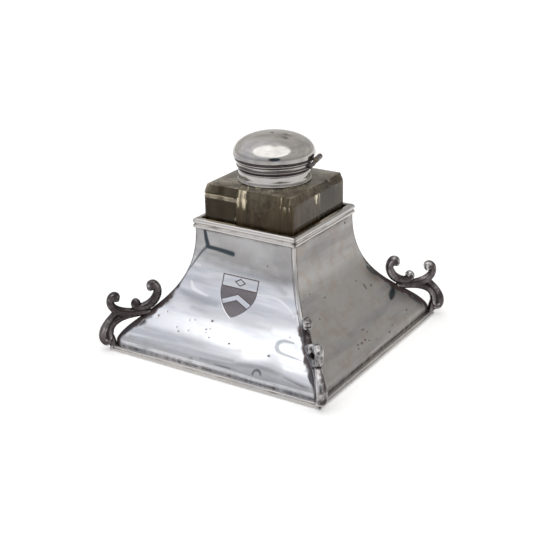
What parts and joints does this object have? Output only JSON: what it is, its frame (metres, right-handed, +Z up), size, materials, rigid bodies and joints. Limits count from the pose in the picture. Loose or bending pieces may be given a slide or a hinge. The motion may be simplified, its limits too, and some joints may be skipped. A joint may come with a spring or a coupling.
{
  "type": "inkstand",
  "caption": "Square flared silver-plated desk inkstand with a scroll pen rest on each corner, a lift-out square glass ink well and a hinged domed lid.",
  "frame": {"origin": "middle of the underside, on the surface that the inkstand rests on", "axes": "+Z up, -Y is the front face with the engraved shield, +X is the right face, near the lid's hinge"},
  "size_m": [0.1494, 0.1494, 0.122],
  "materials": {
    "silver_plate": "worn silver plate, satin on some faces, with small pits and brown tarnish at the seams",
    "bright_plate": "polished silver plate with tarnish in the grooves",
    "oxidised_plate": "cast, plated and darkened, bright on the worn high points",
    "glass": "thick cut and polished glass",
    "wood": "plain stained board",
    "baize": "napped wool cloth",
    "felt": "pressed felt",
    "brass": "plain brass"
  },
  "bodies": {
    "stand": {"panel_front": "silver_plate", "foot_moulding_front": "silver_plate", "rim_moulding_front": "bright_plate", "panel_right": "silver_plate", "foot_moulding_right": "silver_plate", "rim_moulding_right": "bright_plate", "panel_back": "silver_plate", "foot_moulding_back": "silver_plate", "rim_moulding_back": "bright_plate", "panel_left": "silver_plate", "foot_moulding_left": "silver_plate", "rim_moulding_left": "bright_plate", "pen_rest_back_right": "oxidised_plate", "base_gusset_back_right": "brass", "base_screw_back_right": "brass", "pen_rest_back_left": "oxidised_plate", "base_gusset_back_left": "brass", "base_screw_back_left": "brass", "pen_rest_front_left": "oxidised_plate", "base_gusset_front_left": "brass", "base_screw_front_left": "brass", "pen_rest_front_right": "oxidised_plate", "base_gusset_front_right": "brass", "base_screw_front_right": "brass", "well_tray": "silver_plate", "well_pad": "felt", "base_board": "wood", "base_baize": "baize"},
    "well": {"glass_well": "glass", "collar": "bright_plate", "collar_knuckle_right": "bright_plate", "collar_knuckle_left": "bright_plate", "hinge_pin": "brass"},
    "lid": {"lid_shell": "bright_plate", "lid_bezel": "bright_plate", "lid_liner": "silver_plate", "lid_knuckle": "bright_plate"}
  },
  "joints": [
    {"name": "well_lift", "type": "slide", "parent": "stand", "child": "well", "axis": [0, 0, 1], "range_m": [0, 0.04]},
    {"name": "lid_hinge", "type": "hinge", "parent": "well", "child": "lid", "pos_m": [0.02485, 0.00574, 0.109], "axis": [-0.225, 0.9744, 0], "range_deg": [0, 105]}
  ]
}
